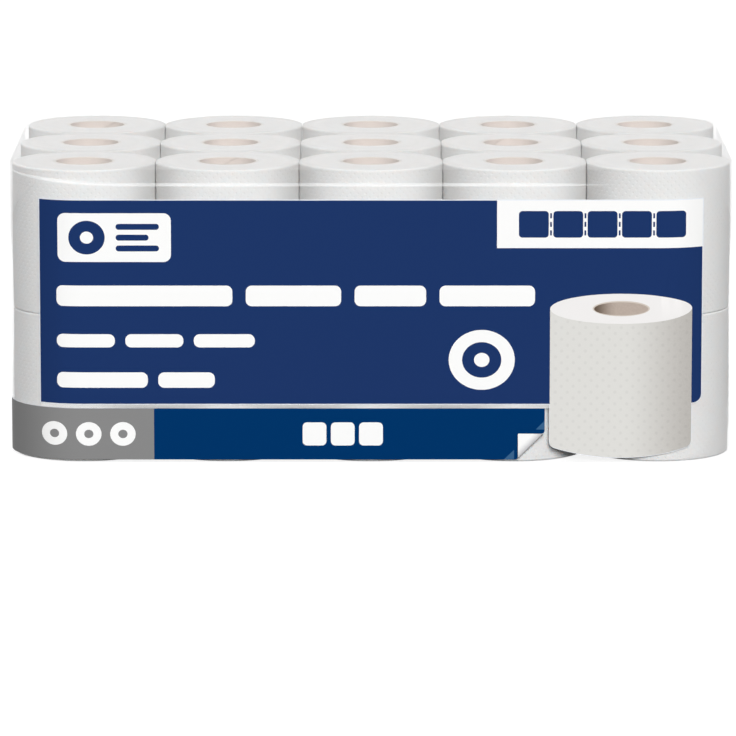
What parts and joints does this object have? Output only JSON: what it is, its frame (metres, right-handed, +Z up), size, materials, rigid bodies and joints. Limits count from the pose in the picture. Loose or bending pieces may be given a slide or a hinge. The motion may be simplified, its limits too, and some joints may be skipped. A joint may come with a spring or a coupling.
{
  "type": "toilet paper roll pack",
  "caption": "Film-wrapped bulk pack of toilet paper rolls standing in rows and two layers, with a printed label and band round the front.",
  "frame": {"origin": "middle of the pack's flat underside", "axes": "+X along the pack's long side to the right as seen from the label, +Y from the labelled front to the back, +Z up, along the rolls' cores"},
  "size_m": [0.4896, 0.297, 0.1987],
  "materials": {
    "tissue": "matte, soft",
    "core_board": "matte",
    "clear_film": "clear, glossy",
    "label_print": "satin navy print with a white box and a pictured roll",
    "band_print": "satin dark blue print with a grey end"
  },
  "bodies": {
    "root": {"roll_front_1_lower": "tissue", "roll_front_1_upper": "tissue", "roll_front_2_lower": "tissue", "roll_front_2_upper": "tissue", "roll_front_3_lower": "tissue", "roll_front_3_upper": "tissue", "roll_front_4_lower": "tissue", "roll_front_4_upper": "tissue", "roll_front_5_lower": "tissue", "roll_front_5_upper": "tissue", "roll_middle_1_lower": "tissue", "roll_middle_1_upper": "tissue", "roll_middle_2_lower": "tissue", "roll_middle_2_upper": "tissue", "roll_middle_3_lower": "tissue", "roll_middle_3_upper": "tissue", "roll_middle_4_lower": "tissue", "roll_middle_4_upper": "tissue", "roll_middle_5_lower": "tissue", "roll_middle_5_upper": "tissue", "roll_back_1_lower": "tissue", "roll_back_1_upper": "tissue", "roll_back_2_lower": "tissue", "roll_back_2_upper": "tissue", "roll_back_3_lower": "tissue", "roll_back_3_upper": "tissue", "roll_back_4_lower": "tissue", "roll_back_4_upper": "tissue", "roll_back_5_lower": "tissue", "roll_back_5_upper": "tissue", "cores_front_1": "core_board", "cores_front_2": "core_board", "cores_front_3": "core_board", "cores_front_4": "core_board", "cores_front_5": "core_board", "cores_middle_1": "core_board", "cores_middle_2": "core_board", "cores_middle_3": "core_board", "cores_middle_4": "core_board", "cores_middle_5": "core_board", "cores_back_1": "core_board", "cores_back_2": "core_board", "cores_back_3": "core_board", "cores_back_4": "core_board", "cores_back_5": "core_board", "film_wrap": "clear_film", "front_label": "label_print", "lower_band": "band_print"}
  },
  "joints": []
}
